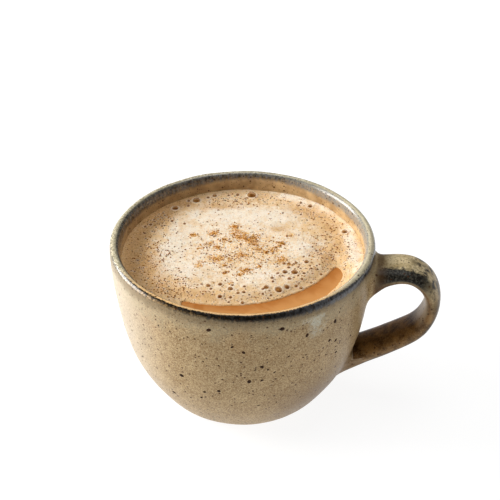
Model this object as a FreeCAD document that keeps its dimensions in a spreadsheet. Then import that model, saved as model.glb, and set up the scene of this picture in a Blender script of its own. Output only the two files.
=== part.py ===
"""A stoneware tea cup with its strap handle, filled with masala chai under a layer of froth.

Frame: millimetres, +Z up, origin on the cup's axis in the plane it stands on, handle along +X.
Three solids: cup (bowl and handle, one piece of clay), chai (the drink) and froth (the foam that
floats on it from wall to wall, with one crescent of open tea).
"""

import FreeCAD, Part
import math
import os
import Sketcher

Vector = FreeCAD.Vector

# Driving dimensions: alias, value, what it measures. Millimetres, and degrees for angles.
SIZES = [
    ("rim_diameter", 98.0, "outside of the lip"),
    ("cup_height", 66.0, "foot to lip"),
    ("side_radius", 200.0, "curve of the upper wall, seen from the side"),
    ("belly_inset", 3.9, "lip in to the belly, at belly_height"),
    ("belly_height", 32.4, "where the upper wall turns into the bowl"),
    ("bowl_inset", 6.75, "belly in to the bowl, at bowl_height"),
    ("bowl_height", 14.0, "middle of the rounded bowl"),
    ("heel_inset", 7.45, "bowl in to the heel, at heel_height"),
    ("heel_height", 3.0, "where the bowl tucks under to the foot"),
    ("foot_inset", 5.1, "heel in to the outside of the ring that the cup stands on"),
    ("lip_thickness", 3.8, "wall at the lip"),
    ("wall_thickness", 4.4, "wall at belly_height, measured level"),
    ("bowl_thickness", 5.4, "wall at bowl_height, measured level"),
    ("floor_thickness", 6.0, "clay under the drink"),
    ("foot_ring_width", 5.0, "unglazed ring that touches the table"),
    ("foot_recess", 1.4, "depth of the turned hollow inside the foot ring"),
    ("foot_edge_radius", 0.6, "rounding of the foot ring's edges"),
    ("grip_drop", 8.8, "lip down to the middle of the handle's upper arm"),
    ("grip_reach", 22.1, "lip out to the handle's furthest point, at the middle of the strap"),
    ("upper_bend_radius", 11.5, "middle of the strap, at the top of the loop"),
    ("lower_bend_radius", 18.5, "middle of the strap, below its furthest point"),
    ("lower_arm_slope", 30.5, "lower arm, below level"),
    ("root_width", 18.4, "strap where it leaves the wall under the lip"),
    ("root_thickness", 6.4, "strap where it leaves the wall under the lip"),
    ("tail_width", 15.0, "strap where it comes back to the wall"),
    ("tail_thickness", 7.2, "strap where it comes back to the wall"),
    ("join_radius", 2.4, "smoothed clay where strap and wall meet"),
    ("root_embed", 7.0, "strap inside the clay, before the cup is hollowed"),
    ("froth_drop", 7.4, "lip down to the top of the froth"),
    ("froth_thickness", 1.4, "froth above the tea"),
    ("froth_ring_width", 6.7, "lip's inside in to the outer edge of the open tea"),
    ("crescent_width", 8.0, "open tea at its widest"),
    ("shore_flattening", 5.8, "radius of the open tea's inner edge, beyond that of its outer edge"),
    ("crescent_bearing", -64.7, "direction of the crescent's middle, from the handle"),
]
LIP_ROUNDING_SHARE = 0.49

# Radii that several sketches share, on the sheet's cells.
LIP_RADIUS = "Sizes.rim_diameter / 2"
LIP_INSIDE = f"{LIP_RADIUS} - Sizes.lip_thickness"
BELLY_RADIUS = f"{LIP_RADIUS} - Sizes.belly_inset"
BOWL_RADIUS = f"{BELLY_RADIUS} - Sizes.bowl_inset"
HEEL_RADIUS = f"{BOWL_RADIUS} - Sizes.heel_inset"
FOOT_RADIUS = f"{HEEL_RADIUS} - Sizes.foot_inset"
BOWL_INSIDE = f"{BOWL_RADIUS} - Sizes.bowl_thickness"
CRESCENT_RADIUS = f"{LIP_INSIDE} - Sizes.froth_ring_width"
SHORE_RADIUS = f"{CRESCENT_RADIUS} + Sizes.shore_flattening"

# Heights that several sketches share.
FROTH_TOP = "Sizes.cup_height - Sizes.froth_drop"
TEA_TOP = f"{FROTH_TOP} - Sizes.froth_thickness"
GRIP_HEIGHT = "Sizes.cup_height - Sizes.grip_drop"
ABOVE_CUP = "Sizes.cup_height + 1"
GROUND = ("0", 0.0)

FOLDER = "parts"

doc = FreeCAD.newDocument("MasalaChai")
sheet = doc.addObject("Spreadsheet::Sheet", "Sizes")


def fill_sheet():
    """One row for each driving dimension: its name, its value under an alias, and what it is."""
    for row, (alias, value, meaning) in enumerate(SIZES, start=1):
        sheet.set(f"A{row}", alias)
        sheet.set(f"B{row}", str(value))
        sheet.setAlias(f"B{row}", alias)
        sheet.set(f"C{row}", meaning)
    doc.recompute()


def size(alias):
    """A driving dimension as a number."""
    return float(sheet.get(alias))


def cell(expression):
    """A bound size: its expression on the sheet, and the number it gives now."""
    return expression, float(sheet.evalExpression(expression.replace("Sizes.", "")))


class Drawing:
    """A sketch on one of its body's origin planes, whose sizes are bound to the sheet."""

    def __init__(self, body, name, role="XZ_Plane"):
        self.sketch = body.newObject("Sketcher::SketchObject", name)
        plane = next(f for f in body.Origin.OriginFeatures if f.Role == role)
        self.sketch.AttachmentSupport = [(plane, "")]
        self.sketch.MapMode = "FlatFace"

    def line(self, start, end):
        return self.sketch.addGeometry(Part.LineSegment(Vector(*start), Vector(*end)), False)

    def circle(self, centre, radius):
        return self.sketch.addGeometry(Part.Circle(Vector(*centre), Vector(0, 0, 1), radius), False)

    def arc(self, centre, radius, start, end):
        """An arc from start to end, anticlockwise, both angles in radians."""
        whole = Part.Circle(Vector(*centre), Vector(0, 0, 1), radius)
        return self.sketch.addGeometry(Part.ArcOfCircle(whole, start, end), False)

    def constrain(self, *words):
        return self.sketch.addConstraint(Sketcher.Constraint(*words))

    def bind(self, label, value, *words):
        """A constraint that holds a value: label names it, and value is what cell() gives."""
        expression, number = value
        index = self.constrain(*words, number)
        self.sketch.renameConstraint(index, label)
        self.sketch.setExpression(f"Constraints.{label}", expression)

    def hold(self, label, geometry, end, across, up):
        """Holds one end of a curve at a place, each of whose two distances is a cell()."""
        self.bind(f"{label}_across", across, "DistanceX", -1, 1, geometry, end)
        self.bind(f"{label}_up", up, "DistanceY", -1, 1, geometry, end)

    def finish(self):
        doc.recompute()
        if self.sketch.solve() != 0:
            raise RuntimeError(f"sketch {self.sketch.Name} doesn't solve")
        return self.sketch


def new_body(label):
    body = doc.addObject("PartDesign::Body", label.capitalize())
    body.Label = label
    return body


def turned(body, kind, name, sketch):
    """A Revolution or a Groove of a half section, all the way round the cup's axis."""
    feature = body.newObject(f"PartDesign::{kind}", name)
    feature.Profile = sketch
    feature.ReferenceAxis = (sketch, ["V_Axis"])
    feature.Angle = 360
    doc.recompute()
    return feature


def pocket(body, name, sketch, depth, upwards=False):
    """A pocket of that depth, downwards from the sketch or upwards."""
    feature = body.newObject("PartDesign::Pocket", name)
    feature.Profile = sketch
    feature.Reversed = upwards
    feature.setExpression("Length", depth)
    doc.recompute()
    return feature


def rounding(body, name, base, edges, radius):
    """A fillet on those edges of base, by their numbers."""
    feature = body.newObject("PartDesign::Fillet", name)
    feature.Base = (base, [f"Edge{number}" for number in edges])
    feature.setExpression("Radius", radius)
    doc.recompute()
    return feature


def lean_between(upper, lower):
    """Angle from the vertical of the straight line between two points of the wall."""
    return math.atan2(upper[0] - lower[0], upper[1] - lower[1])


def lean_at_top(upper, lower, radius):
    """Lean, at upper, of an arc of that radius from upper down to lower."""
    return lean_between(upper, lower) - math.asin(math.dist(upper, lower) / (2 * radius))


def wall_arcs(drawing, points, lean):
    """Tangent arcs down the wall through the points, leaving the first one with that lean.

    Gives the arcs' numbers, top one first, and the lean at the last point.
    """
    arcs = []
    for upper, lower in zip(points, points[1:]):
        next_lean = 2 * lean_between(upper, lower) - lean
        radius = math.dist(upper, lower) / (2 * math.sin((next_lean - lean) / 2))
        centre = (upper[0] - radius * math.cos(lean), upper[1] + radius * math.sin(lean))
        arcs.append(drawing.arc(centre, radius, -next_lean, -lean))
        lean = next_lean
    for upper_arc, lower_arc in zip(arcs, arcs[1:]):
        drawing.constrain("Tangent", lower_arc, 2, upper_arc, 1)
    return arcs, lean


def wall_profile(body, name, stations, floor):
    """A closed half section under the wall line through the stations, down to a level floor.

    A station is a name with its radius and height, from the lip down. floor is the height of the
    bottom line: the last station lies on it, or else a last arc turns from the wall into it.
    """
    drawing = Drawing(body, name)
    points = [(radius[1], height[1]) for _, radius, height in stations]
    reaches_floor = points[-1][1] == floor[1]
    lean = lean_at_top(points[0], points[1], size("side_radius"))
    arcs, lean = wall_arcs(drawing, points, lean)
    corner = points[-1]
    if not reaches_floor:
        turn_radius = (points[-1][1] - floor[1]) / (1 - math.sin(lean))
        corner = (points[-1][0] - turn_radius * math.cos(lean), floor[1])
        centre = (corner[0], floor[1] + turn_radius)
        arcs.append(drawing.arc(centre, turn_radius, -math.pi / 2, -lean))
        drawing.constrain("Tangent", arcs[-1], 2, arcs[-2], 1)
    lip_height = points[0][1]
    top = drawing.line(points[0], (0, lip_height))
    axis = drawing.line((0, lip_height), (0, floor[1]))
    base = drawing.line((0, floor[1]), corner)
    drawing.constrain("Coincident", arcs[0], 2, top, 1)
    drawing.constrain("Coincident", top, 2, axis, 1)
    drawing.constrain("Coincident", axis, 2, base, 1)
    drawing.constrain("PointOnObject", axis, 1, -2)
    drawing.constrain("Vertical", axis)
    drawing.constrain("Horizontal", top)
    drawing.constrain("Horizontal", base)
    drawing.constrain("Coincident" if reaches_floor else "Tangent", base, 2, arcs[-1], 1)
    drawing.bind("side_radius", cell("Sizes.side_radius"), "Radius", arcs[0])
    drawing.bind("floor_up", floor, "DistanceY", -1, 1, axis, 2)
    ends = [(arcs[0], 2)] + [(arc, 1) for arc in arcs]
    for (label, radius, height), (arc, end) in zip(stations, ends):
        if height[1] == floor[1]:
            drawing.bind(f"{label}_across", radius, "DistanceX", -1, 1, arc, end)
        else:
            drawing.hold(label, arc, end, radius, height)
    return drawing.finish()


def outer_profile(body):
    """The cup's outside, filled: foot, heel, bowl, belly and lip."""
    stations = [
        ("lip", cell(LIP_RADIUS), cell("Sizes.cup_height")),
        ("belly", cell(BELLY_RADIUS), cell("Sizes.belly_height")),
        ("bowl", cell(BOWL_RADIUS), cell("Sizes.bowl_height")),
        ("heel", cell(HEEL_RADIUS), cell("Sizes.heel_height")),
        ("foot", cell(FOOT_RADIUS), GROUND),
    ]
    return wall_profile(body, "OuterProfile", stations, GROUND)


def cavity_profile(body):
    """The hollow that holds the drink: the wall's thickness inside the cup's outside."""
    belly = cell(f"{BELLY_RADIUS} - Sizes.wall_thickness")
    stations = [
        ("lip", cell(LIP_INSIDE), cell("Sizes.cup_height")),
        ("belly", belly, cell("Sizes.belly_height")),
        ("bowl", cell(BOWL_INSIDE), cell("Sizes.bowl_height")),
    ]
    return wall_profile(body, "CavityProfile", stations, cell("Sizes.floor_thickness"))


def band_profile(body, name, low, high):
    """A half section of everything between two heights, a little wider than the cup."""
    drawing = Drawing(body, name)
    width = cell(LIP_RADIUS)
    corners = [(0, low[1]), (width[1], low[1]), (width[1], high[1]), (0, high[1])]
    sides = [drawing.line(a, b) for a, b in zip(corners, corners[1:] + corners[:1])]
    for side, following in zip(sides, sides[1:] + sides[:1]):
        drawing.constrain("Coincident", side, 2, following, 1)
    bottom, outside, top, inside = sides
    drawing.constrain("PointOnObject", bottom, 1, -2)
    drawing.constrain("Horizontal", bottom)
    drawing.constrain("Horizontal", top)
    drawing.constrain("Vertical", outside)
    drawing.constrain("Vertical", inside)
    drawing.hold("low", bottom, 2, width, low)
    drawing.bind("high", high, "DistanceY", -1, 1, outside, 2)
    return drawing.finish()


def handle_path(body):
    """Middle line of the strap: level arm, two bends, and a straight arm down to the wall."""
    drawing = Drawing(body, "HandlePath")
    start = cell(f"{LIP_INSIDE} - Sizes.root_embed")
    level = cell(GRIP_HEIGHT)
    reach = cell(f"{LIP_RADIUS} + Sizes.grip_reach")
    landing = cell(f"{BOWL_INSIDE} - Sizes.root_embed / 2")
    upper = cell("Sizes.upper_bend_radius")
    lower = cell("Sizes.lower_bend_radius")
    slope = math.radians(size("lower_arm_slope"))
    middle = cell(f"{GRIP_HEIGHT} - Sizes.upper_bend_radius")
    upper_centre = (reach[1] - upper[1], middle[1])
    lower_centre = (reach[1] - lower[1], middle[1])
    leave_x = lower_centre[0] + lower[1] * math.sin(slope)
    leave_z = middle[1] - lower[1] * math.cos(slope)
    end_z = leave_z - (leave_x - landing[1]) * math.tan(slope)
    arm = drawing.line((start[1], level[1]), (upper_centre[0], level[1]))
    bend = drawing.arc(upper_centre, upper[1], 0, math.pi / 2)
    turn = drawing.arc(lower_centre, lower[1], slope - math.pi / 2, 0)
    tail = drawing.line((leave_x, leave_z), (landing[1], end_z))
    drawing.constrain("Tangent", arm, 2, bend, 2)
    drawing.constrain("Tangent", bend, 1, turn, 2)
    drawing.constrain("Tangent", turn, 1, tail, 1)
    drawing.constrain("Horizontal", arm)
    drawing.hold("start", arm, 1, start, level)
    drawing.bind("upper_radius", upper, "Radius", bend)
    drawing.bind("lower_radius", lower, "Radius", turn)
    drawing.hold("reach", bend, 1, reach, middle)
    drawing.bind("landing", landing, "DistanceX", -1, 1, tail, 2)
    slope_expression = "-(180 - Sizes.lower_arm_slope) * 1 deg"
    drawing.bind("slope", (slope_expression, slope - math.pi), "Angle", tail)
    return drawing.finish()


def strap_section(body, name, width, thickness):
    """An oval across the strap, centred on its sketch's origin, with its width along local X."""
    drawing = Drawing(body, name, "YZ_Plane")
    long_end, short_end = Vector(width[1] / 2, 0), Vector(0, thickness[1] / 2)
    oval = drawing.sketch.addGeometry(Part.Ellipse(long_end, short_end, Vector()), False)
    drawing.sketch.exposeInternalGeometry(oval)
    long_axis, short_axis = oval + 1, oval + 2
    drawing.constrain("Coincident", oval, 3, -1, 1)
    drawing.constrain("Horizontal", long_axis)
    drawing.bind("width", width, "Distance", long_axis)
    drawing.bind("thickness", thickness, "Distance", short_axis)
    return drawing.finish()


def strap(body):
    """The handle: an oval strap along its path, which narrows and thickens towards its tail."""
    path = handle_path(body)
    root = strap_section(body, "StrapRoot", cell("Sizes.root_width"), cell("Sizes.root_thickness"))
    root.setExpression("AttachmentOffset.Base.y", GRIP_HEIGHT)
    root.setExpression("AttachmentOffset.Base.z", f"{LIP_INSIDE} - Sizes.root_embed")
    tail = strap_section(body, "StrapTail", cell("Sizes.tail_width"), cell("Sizes.tail_thickness"))
    tail.AttachmentSupport = [(path, "Edge4")]
    tail.MapMode = "NormalToEdge"
    tail.MapPathParameter = 1.0
    doc.recompute()
    feature = body.newObject("PartDesign::AdditivePipe", "Strap")
    feature.Profile = root
    feature.Spine = (path, [f"Edge{number}" for number in range(1, 5)])
    feature.Transformation = "Multisection"
    feature.Sections = [(tail, "")]
    doc.recompute()
    return feature


def join_edges(joined, bowl):
    """Numbers of the edges where the strap runs into the bowl, whose own edges are all circles."""
    touch = 1e-3
    skin = bowl.Shells[0]
    found = []
    for number, edge in enumerate(joined.Edges, start=1):
        low, high = edge.ParameterRange
        spots = [Part.Vertex(edge.valueAt(low + (high - low) * share)) for share in (0.2, 0.5, 0.8)]
        on_bowl = all(spot.distToShape(skin)[0] < touch for spot in spots)
        if on_bowl and not isinstance(edge.Curve, Part.Circle):
            found.append(number)
    return found


def ring_edges(shape, radius, height):
    """Numbers of the level, round edges of that radius at that height."""
    near = 1e-3
    found = []
    for number, edge in enumerate(shape.Edges, start=1):
        ring = isinstance(edge.Curve, Part.Circle) and abs(edge.Curve.Radius - radius) < near
        if ring and abs(edge.Curve.Center.z - height) < near and abs(edge.Curve.Axis.z) > 1 - near:
            found.append(number)
    return found


def cup():
    """Bowl and handle joined in the clay, hollowed, with a rounded lip and a turned foot."""
    body = new_body("cup")
    bowl = turned(body, "Revolution", "Bowl", outer_profile(body))
    handle = strap(body)
    joins = join_edges(handle.Shape, bowl.Shape)
    joined = rounding(body, "HandleJoins", handle, joins, "Sizes.join_radius")
    hollow = turned(body, "Groove", "Hollow", cavity_profile(body))
    ring = Drawing(body, "RecessOutline", "XY_Plane")
    inside = cell(f"{FOOT_RADIUS} - Sizes.foot_ring_width")
    outline = ring.circle((0, 0), inside[1])
    ring.constrain("Coincident", outline, 3, -1, 1)
    ring.bind("inside", inside, "Radius", outline)
    recess = pocket(body, "FootRecess", ring.finish(), "Sizes.foot_recess", upwards=True)
    lip_height = size("cup_height")
    lip_edges = ring_edges(recess.Shape, cell(LIP_RADIUS)[1], lip_height)
    lip_edges += ring_edges(recess.Shape, cell(LIP_INSIDE)[1], lip_height)
    lip_radius = f"Sizes.lip_thickness * {LIP_ROUNDING_SHARE}"
    lip = rounding(body, "LipRounding", recess, lip_edges, lip_radius)
    foot_edges = ring_edges(lip.Shape, cell(FOOT_RADIUS)[1], 0)
    foot_edges += ring_edges(lip.Shape, inside[1], 0)
    rounding(body, "FootRounding", lip, foot_edges, "Sizes.foot_edge_radius")
    check_smaller(joined, hollow)
    check_smaller(hollow, recess)
    return body


def drink():
    """The tea: the cup's hollow, filled to the underside of the froth."""
    body = new_body("chai")
    filled = turned(body, "Revolution", "Filled", cavity_profile(body))
    above = band_profile(body, "AboveTea", cell(TEA_TOP), cell(ABOVE_CUP))
    check_smaller(filled, turned(body, "Groove", "TeaLevel", above))
    return body


def crescent_outline(body):
    """The open tea: inside an arc round the cup's axis, outside a larger arc beside it."""
    drawing = Drawing(body, "CrescentOutline", "XY_Plane")
    drawing.sketch.setExpression("AttachmentOffset.Base.z", FROTH_TOP)
    bearing = math.radians(size("crescent_bearing"))
    shift = "(Sizes.shore_flattening + Sizes.crescent_width)"
    across = cell(f"-{shift} * cos(Sizes.crescent_bearing * 1 deg)")
    up = cell(f"-{shift} * sin(Sizes.crescent_bearing * 1 deg)")
    outer, inner = cell(CRESCENT_RADIUS), cell(SHORE_RADIUS)
    gap = math.hypot(across[1], up[1])
    reach = (inner[1] ** 2 - outer[1] ** 2 - gap**2) / (2 * gap)
    outer_half = math.acos(reach / outer[1])
    inner_half = math.acos((reach + gap) / inner[1])
    edge = drawing.arc((0, 0), outer[1], bearing - outer_half, bearing + outer_half)
    shore = drawing.arc((across[1], up[1]), inner[1], bearing - inner_half, bearing + inner_half)
    drawing.constrain("Coincident", edge, 3, -1, 1)
    drawing.constrain("Coincident", edge, 1, shore, 1)
    drawing.constrain("Coincident", edge, 2, shore, 2)
    drawing.bind("outer_radius", outer, "Radius", edge)
    drawing.bind("inner_radius", inner, "Radius", shore)
    drawing.hold("shore", shore, 3, across, up)
    return drawing.finish()


def froth():
    """The foam: a layer on the tea from wall to wall, open along the crescent."""
    body = new_body("froth")
    filled = turned(body, "Revolution", "Filled", cavity_profile(body))
    above = band_profile(body, "AboveFroth", cell(FROTH_TOP), cell(ABOVE_CUP))
    topped = turned(body, "Groove", "FrothTop", above)
    below = band_profile(body, "BelowFroth", GROUND, cell(TEA_TOP))
    layer = turned(body, "Groove", "FrothUnderside", below)
    opened = pocket(body, "Crescent", crescent_outline(body), "Sizes.froth_thickness")
    check_smaller(filled, topped)
    check_smaller(topped, layer)
    check_smaller(layer, opened)
    return body


def check_smaller(before, after):
    """Stops if a cut took nothing away."""
    if after.Shape.Volume >= before.Shape.Volume - 1:
        raise RuntimeError(f"{after.Name} cuts nothing")


def check_model(bodies):
    """Stops if any object failed to rebuild or any body isn't one sound closed solid."""
    for item in doc.Objects:
        if {"Invalid", "Error"} & set(item.State):
            raise RuntimeError(f"{item.Name} failed: {item.State}")
    for body in bodies:
        shape = body.Shape
        if shape.isNull() or not shape.isValid() or len(shape.Solids) != 1:
            raise RuntimeError(f"{body.Label} isn't one valid solid")


def export(bodies):
    """Writes each body's solid to its own file and prints its volume and extent."""
    os.makedirs(FOLDER, exist_ok=True)
    for body in bodies:
        solid = body.Shape.Solids[0]
        solid.exportStep(os.path.join(FOLDER, f"{body.Label}.step"))
        box = solid.optimalBoundingBox(True, False)
        extent = f"{box.XLength:.1f} x {box.YLength:.1f} x {box.ZLength:.1f} mm"
        print(f"{body.Label}: {solid.Volume / 1000:.1f} cm3, {extent}")


fill_sheet()
bodies = [cup(), drink(), froth()]
doc.recompute()
check_model(bodies)
export(bodies)
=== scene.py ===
"""A cup of masala chai: the looks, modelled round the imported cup, tea and froth.

Sizes are in millimetres until a piece is placed, and MM turns them into metres. The frame is the
model's own: +Z up the cup's axis, handle along +X.
"""

import math
import random

import bmesh
import bpy
import numpy as np
from mathutils import Euler, Matrix, Vector, noise


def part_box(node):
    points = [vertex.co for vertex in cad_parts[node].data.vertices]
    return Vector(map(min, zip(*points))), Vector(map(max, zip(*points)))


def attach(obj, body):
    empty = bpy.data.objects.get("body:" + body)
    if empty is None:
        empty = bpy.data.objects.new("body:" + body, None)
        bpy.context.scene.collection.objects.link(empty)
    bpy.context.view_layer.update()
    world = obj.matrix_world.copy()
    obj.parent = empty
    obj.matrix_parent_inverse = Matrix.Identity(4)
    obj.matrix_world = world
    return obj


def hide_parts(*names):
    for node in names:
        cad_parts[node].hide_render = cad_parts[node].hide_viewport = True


MM = 0.001
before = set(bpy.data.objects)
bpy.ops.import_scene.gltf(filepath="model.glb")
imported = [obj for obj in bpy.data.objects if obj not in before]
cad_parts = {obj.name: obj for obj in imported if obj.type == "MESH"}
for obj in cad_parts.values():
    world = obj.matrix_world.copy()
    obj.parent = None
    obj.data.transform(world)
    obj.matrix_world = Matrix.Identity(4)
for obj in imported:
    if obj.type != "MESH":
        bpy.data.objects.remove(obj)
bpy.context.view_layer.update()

# The cup as a drinker faces it: the handle points to the right and a little towards the drinker.
FACING_TURN = math.radians(7.3)

# Levels of the drink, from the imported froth.
FROTH_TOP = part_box("froth")[1].z / MM
TEA_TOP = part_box("froth")[0].z / MM
CUP_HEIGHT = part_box("cup")[1].z / MM


# ---------------------------------------------------------------- modelling by hand


def deselect():
    for thing in bpy.context.selected_objects:
        thing.select_set(False)


def edit(piece, select_mode="VERT"):
    """Opens a piece in edit mode with nothing selected."""
    deselect()
    bpy.context.view_layer.objects.active = piece
    piece.select_set(True)
    bpy.ops.object.mode_set(mode="EDIT")
    bpy.ops.mesh.select_mode(type=select_mode)
    bpy.ops.mesh.select_all(action="DESELECT")


def close_edit():
    bpy.ops.object.mode_set(mode="OBJECT")


def pick(piece, kind, wanted):
    """Selects the verts, edges or faces for which wanted(element) is true."""
    mesh = bmesh.from_edit_mesh(piece.data)
    for element in getattr(mesh, kind):
        if wanted(element):
            element.select_set(True)
    bmesh.update_edit_mesh(piece.data)


def note(piece, name, value):
    """Writes one value on the selected verts, for the finish to read."""
    mesh = bmesh.from_edit_mesh(piece.data)
    layer = mesh.verts.layers.float.get(name) or mesh.verts.layers.float.new(name)
    for vert in mesh.verts:
        if vert.select:
            vert[layer] = value
    bmesh.update_edit_mesh(piece.data)


def name_piece(name):
    piece = bpy.context.object
    piece.name = piece.data.name = name
    return piece


def apply_modifier(piece, kind, **settings):
    deselect()
    bpy.context.view_layer.objects.active = piece
    piece.select_set(True)
    modifier = piece.modifiers.new(kind.title(), kind)
    for key, value in settings.items():
        setattr(modifier, key, value)
    bpy.ops.object.modifier_apply(modifier=modifier.name)


def settle(piece):
    """Puts a piece's place and turn into its mesh."""
    deselect()
    bpy.context.view_layer.objects.active = piece
    piece.select_set(True)
    bpy.ops.object.transform_apply(location=True, rotation=True, scale=True)


def outward_normals(piece):
    edit(piece, "FACE")
    bpy.ops.mesh.select_all(action="SELECT")
    bpy.ops.mesh.normals_make_consistent(inside=False)
    close_edit()


def smooth(piece):
    for face in piece.data.polygons:
        face.use_smooth = True


def seen(right, back):
    """A place on the drink as the drinker sees it: right of the cup's axis and back from it."""
    turn = complex(right, back) * complex(math.cos(FACING_TURN), math.sin(FACING_TURN))
    return turn.real, turn.imag


# ---------------------------------------------------------------- finishes


def srgb(red, green, blue):
    """A display colour, 0 to 255, as the linear colour that a shader takes."""
    def linear(value):
        value /= 255
        return value / 12.92 if value <= 0.04045 else ((value + 0.055) / 1.055) ** 2.4
    return linear(red), linear(green), linear(blue), 1.0


class Finish:
    """A node material on a principled surface, with short names for the nodes that feed it."""

    def __init__(self, name, **constants):
        self.material = bpy.data.materials.new(name)
        self.material.use_nodes = True
        self.tree = self.material.node_tree
        self.surface = self.tree.nodes["Principled BSDF"]
        for socket, value in constants.items():
            self.surface.inputs[socket.replace("_", " ")].default_value = value

    def node(self, kind, **settings):
        made = self.tree.nodes.new(kind)
        for key, value in settings.items():
            setattr(made, key, value)
        return made

    def feed(self, socket, value):
        if isinstance(value, bpy.types.NodeSocket):
            self.tree.links.new(value, socket)
        elif value is not None:
            socket.default_value = value

    def place(self):
        """Object coordinates in millimetres."""
        coordinates = self.node("ShaderNodeTexCoord")
        scaled = self.node("ShaderNodeVectorMath", operation="SCALE")
        self.feed(scaled.inputs[0], coordinates.outputs["Object"])
        self.feed(scaled.inputs["Scale"], 1 / MM)
        return scaled.outputs[0]

    def split(self, vector):
        parts = self.node("ShaderNodeSeparateXYZ")
        self.feed(parts.inputs[0], vector)
        return parts.outputs[0], parts.outputs[1], parts.outputs[2]

    def stretched(self, vector, x, y, z):
        made = self.node("ShaderNodeVectorMath", operation="MULTIPLY")
        self.feed(made.inputs[0], vector)
        self.feed(made.inputs[1], (x, y, z))
        return made.outputs[0]

    def calc(self, operation, *values, clamp=False):
        made = self.node("ShaderNodeMath", operation=operation, use_clamp=clamp)
        for socket, value in zip(made.inputs, values):
            self.feed(socket, value)
        return made.outputs[0]

    def noise(self, vector, scale, detail=3.0, roughness=0.5, distortion=0.0):
        made = self.node("ShaderNodeTexNoise")
        for key, value in (("Vector", vector), ("Scale", scale), ("Detail", detail),
                           ("Roughness", roughness), ("Distortion", distortion)):
            self.feed(made.inputs[key], value)
        return made.outputs[0]

    def cells(self, vector, scale, feature="F1"):
        """Voronoi cells: distance from the cell's point, and a random number for each cell."""
        made = self.node("ShaderNodeTexVoronoi", feature=feature)
        self.feed(made.inputs["Vector"], vector)
        self.feed(made.inputs["Scale"], scale)
        lone = self.node("ShaderNodeSeparateColor")
        self.feed(lone.inputs[0], made.outputs["Color"])
        return made.outputs["Distance"], lone.outputs[0]

    def step(self, value, low, high, to_low=0.0, to_high=1.0):
        """Smooth step from to_low at low to to_high at high."""
        made = self.node("ShaderNodeMapRange", interpolation_type="SMOOTHSTEP")
        for index, number in enumerate((value, low, high, to_low, to_high)):
            self.feed(made.inputs[index], number)
        return made.outputs[0]

    def mix_value(self, share, first, second):
        made = self.node("ShaderNodeMix", data_type="FLOAT")
        self.feed(made.inputs[0], share)
        self.feed(made.inputs[2], first)
        self.feed(made.inputs[3], second)
        return made.outputs[0]

    def mix(self, share, first, second):
        made = self.node("ShaderNodeMix", data_type="RGBA")
        self.feed(made.inputs[0], share)
        self.feed(made.inputs[6], first)
        self.feed(made.inputs[7], second)
        return made.outputs[2]

    def attribute(self, name):
        made = self.node("ShaderNodeAttribute", attribute_name=name)
        return made.outputs["Fac"]

    def specks(self, vector, scale, share, size):
        """Round specks: share of the cells that hold one, and the largest radius in cells."""
        distance, chance = self.cells(vector, scale)
        radius = self.step(chance, 1 - share, 1.0, 0.0, size)
        return self.step(self.calc("SUBTRACT", radius, distance), 0.0, 0.06)

    def bump(self, height, distance, strength=1.0, base=None):
        made = self.node("ShaderNodeBump")
        self.feed(made.inputs["Height"], height)
        self.feed(made.inputs["Distance"], distance)
        self.feed(made.inputs["Strength"], strength)
        self.feed(made.inputs["Normal"], base)
        return made.outputs[0]

    def wear(self, piece):
        piece.data.materials.clear()
        piece.data.materials.append(self.material)


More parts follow.
